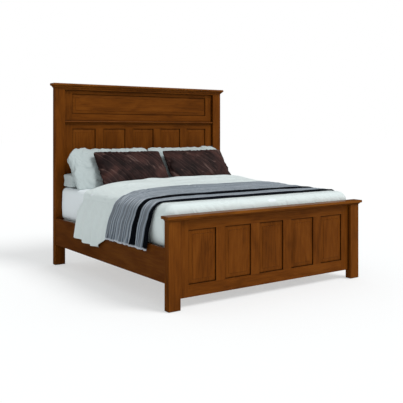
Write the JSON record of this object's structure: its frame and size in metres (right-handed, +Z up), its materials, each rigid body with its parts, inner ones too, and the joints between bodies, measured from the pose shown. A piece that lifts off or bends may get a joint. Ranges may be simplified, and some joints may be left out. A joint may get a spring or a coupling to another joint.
{
  "type": "panel bed",
  "caption": "Panel bed: tall headboard and low footboard of raised panels between square posts under moulded caps, deep side rails, slats, mattress, duvet, knitted throw and pillows",
  "frame": {"origin": "on the floor under the middle of the bed's bounding box", "axes": "+X to the right seen from the foot, +Y from foot to head, +Z up"},
  "size_m": [2.11, 2.203, 1.817],
  "materials": {
    "stained_maple": "warm brown wiping stain under a satin clear lacquer",
    "support_wood": "planed softwood, unfinished",
    "hook_steel": "zinc plated",
    "glide_plastic": "moulded, matt",
    "foundation_cover": "woven polyester cover",
    "fitted_sheet": "plain cotton sheet over foam and springs",
    "duvet_cotton": "plain white cotton",
    "throw_knit": "ribbed knit, grey-blue with two dark stripes",
    "pillow_cotton": "plain white cotton",
    "velvet": "crushed brown velvet"
  },
  "bodies": {
    "root": {"beam_leg_feet": "glide_plastic", "beam_legs": "support_wood", "center_beam": "support_wood", "duvet": "duvet_cotton", "foot_bottom_rail": "stained_maple", "foot_cap": "stained_maple", "foot_cap_moulding": "stained_maple", "foot_fascia": "stained_maple", "foot_muntin_1": "stained_maple", "foot_muntin_2": "stained_maple", "foot_muntin_3": "stained_maple", "foot_muntin_4": "stained_maple", "foot_panel_1": "stained_maple", "foot_panel_2": "stained_maple", "foot_panel_3": "stained_maple", "foot_panel_4": "stained_maple", "foot_panel_5": "stained_maple", "foot_post_left": "stained_maple", "foot_post_right": "stained_maple", "foot_stile_left": "stained_maple", "foot_stile_right": "stained_maple", "foot_top_rail": "stained_maple", "foundation": "foundation_cover", "head_bottom_rail": "stained_maple", "head_crown": "stained_maple", "head_crown_moulding": "stained_maple", "head_fascia": "stained_maple", "head_ledge": "stained_maple", "head_mid_rail": "stained_maple", "head_muntin_1": "stained_maple", "head_muntin_2": "stained_maple", "head_muntin_3": "stained_maple", "head_muntin_4": "stained_maple", "head_panel_1": "stained_maple", "head_panel_2": "stained_maple", "head_panel_3": "stained_maple", "head_panel_4": "stained_maple", "head_panel_5": "stained_maple", "head_post_left": "stained_maple", "head_post_right": "stained_maple", "head_stile_left": "stained_maple", "head_stile_right": "stained_maple", "head_top_rail": "stained_maple", "head_upper_panel": "stained_maple", "leaning_pillow_left": "pillow_cotton", "leaning_pillow_right": "pillow_cotton", "ledger_left": "support_wood", "ledger_right": "support_wood", "mattress": "fitted_sheet", "post_glides": "glide_plastic", "post_keeper_plates": "hook_steel", "rail_hook_plates": "hook_steel", "side_rail_left": "stained_maple", "side_rail_right": "stained_maple", "slats": "support_wood", "sleeping_pillow_left": "pillow_cotton", "sleeping_pillow_right": "pillow_cotton", "throw_blanket": "throw_knit", "velvet_pillow_left": "velvet", "velvet_pillow_right": "velvet"}
  },
  "joints": []
}
